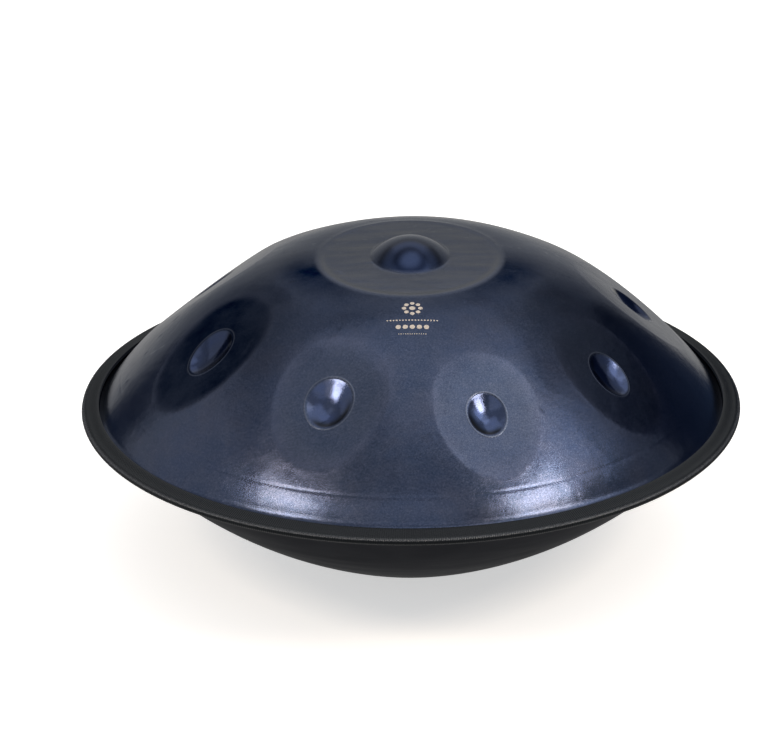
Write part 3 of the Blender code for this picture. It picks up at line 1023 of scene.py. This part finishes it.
FLAGS = (                   # name, azimuth, distance, width, height
    ("flag_right", 114.7, 0.55, 0.42, 0.46),
    ("flag_left", -126, 1.13, 0.36, 0.50),
)
SKY_RISE = (0.55, 0.90)     # the sky brightens between these heights of its unit sphere
SKY_STRENGTH = (0.40, 0.65)
SKY_LOW = (0.92, 0.96, 1.0, 1.0)
SKY_HIGH = (0.97, 0.98, 1.0, 1.0)
CAMERA_ELEVATION = 23.84
CAMERA_ROLL = -0.394
CAMERA_DISTANCE = 11 * TRIM_RADIUS
CAMERA_LENS = 171.47        # millimetres, on the sensor below
CAMERA_SENSOR = 36.0
CAMERA_SHIFT = (-0.0421, 0.0272)


def direction(azimuth, elevation):
    """The unit vector from the instrument towards this direction."""
    turn, rise = radians(azimuth), radians(elevation)
    return Vector((sin(turn) * cos(rise), -cos(turn) * cos(rise), sin(rise)))


def add_plane(name, height, material):
    """A large level square."""
    signs = ((-1, -1), (1, -1), (1, 1), (-1, 1))
    corners = [(x * FLOOR_HALF, y * FLOOR_HALF, height) for x, y in signs]
    return add_piece(name, corners, [(0, 1, 2, 3)], material)


def add_floor():
    """The floor that the camera sees, and a dimmer one for reflections and fill."""
    floor = add_plane("floor", -FLOOR_DROP, floor_paint())
    floor.visible_diffuse = False
    floor.visible_glossy = False
    bounce = add_plane("floor_bounce", -2 * FLOOR_DROP, bounce_glow())
    bounce.visible_camera = False
    bounce.visible_shadow = False


def add_softbox(name, azimuth, elevation, distance, width, height, radiance, colour):
    """A rectangular light that faces the instrument from a direction."""
    light = bpy.data.lights.new(name, "AREA")
    light.shape = "RECTANGLE"
    light.size = width
    light.size_y = height
    light.energy = radiance * pi * width * height
    light.color = colour
    away = direction(azimuth, elevation)
    item = bpy.data.objects.new(name, light)
    item.location = Vector((0, 0, RIM_HEIGHT)) + away * distance
    item.rotation_mode = "QUATERNION"
    item.rotation_quaternion = away.to_track_quat("Z", "Y")
    bpy.context.scene.collection.objects.link(item)


def add_flag(name, azimuth, distance, width, height):
    """A nearly black card that stands on the floor, which only reflections see."""
    foot = direction(azimuth, 0) * distance
    side = direction(azimuth + 90, 0) * width / 2
    top = Vector((0, 0, height))
    corners = [foot - side, foot + side, foot + side + top, foot - side + top]
    flag = add_piece(name, corners, [(0, 1, 2, 3)], flag_black(name + "_black"))
    flag.visible_camera = False
    flag.visible_diffuse = False
    flag.visible_shadow = False


def add_sky():
    """A studio that is dim near the floor and lighter overhead."""
    world = bpy.data.worlds.new("studio")
    world.use_nodes = True
    nodes, links = world.node_tree.nodes, world.node_tree.links
    background = nodes["Background"]
    split = nodes.new("ShaderNodeSeparateXYZ")
    rise = nodes.new("ShaderNodeMapRange")
    rise.interpolation_type = "SMOOTHSTEP"
    rise.inputs["From Min"].default_value, rise.inputs["From Max"].default_value = SKY_RISE
    rise.inputs["To Min"].default_value, rise.inputs["To Max"].default_value = SKY_STRENGTH
    links.new(nodes.new("ShaderNodeTexCoord").outputs["Generated"], split.inputs[0])
    links.new(split.outputs["Z"], rise.inputs["Value"])
    links.new(rise.outputs["Result"], background.inputs["Strength"])
    tint = nodes.new("ShaderNodeMix")
    tint.data_type = "RGBA"
    tint.inputs[6].default_value = SKY_LOW
    tint.inputs[7].default_value = SKY_HIGH
    links.new(rise.outputs["Result"], tint.inputs[0])
    links.new(tint.outputs[2], background.inputs["Color"])
    bpy.context.scene.world = world


def add_camera():
    """A long lens, raised on the player's side."""
    data = bpy.data.cameras.new("camera")
    data.sensor_width = CAMERA_SENSOR
    data.lens = CAMERA_LENS
    data.shift_x, data.shift_y = CAMERA_SHIFT
    back = direction(0, CAMERA_ELEVATION)
    camera = bpy.data.objects.new("camera", data)
    camera.location = Vector((0, 0, RIM_HEIGHT)) + back * CAMERA_DISTANCE
    camera.rotation_mode = "QUATERNION"
    roll = Quaternion((0, 0, 1), radians(CAMERA_ROLL))
    camera.rotation_quaternion = (-back).to_track_quat("-Z", "Y") @ roll
    bpy.context.scene.collection.objects.link(camera)
    bpy.context.scene.camera = camera


# ================================================================ assembly
def place(piece, slot=None, node=None):
    """Ride a piece on the one body, and hide the CAD node it stands for. The slot is not used."""
    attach(piece, "root")
    if node:
        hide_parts(node)


add_camera()
add_floor()
for softbox in SOFTBOXES:
    add_softbox(*softbox)
for flag in FLAGS:
    add_flag(*flag)
add_sky()
bpy.context.scene.view_settings.view_transform = "Standard"
place(build_top_shell(top_steel()), "steel_top", "top_shell")
place(build_bottom_shell(bottom_steel()), "steel_bottom", "bottom_shell")
place(build_rim_trim(trim_rubber()), "trim", "rim_trim")
place(build_emblem(emblem_print()))

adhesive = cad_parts["flange_adhesive"]
adhesive.data.materials.clear()
adhesive.data.materials.append(bond_adhesive())
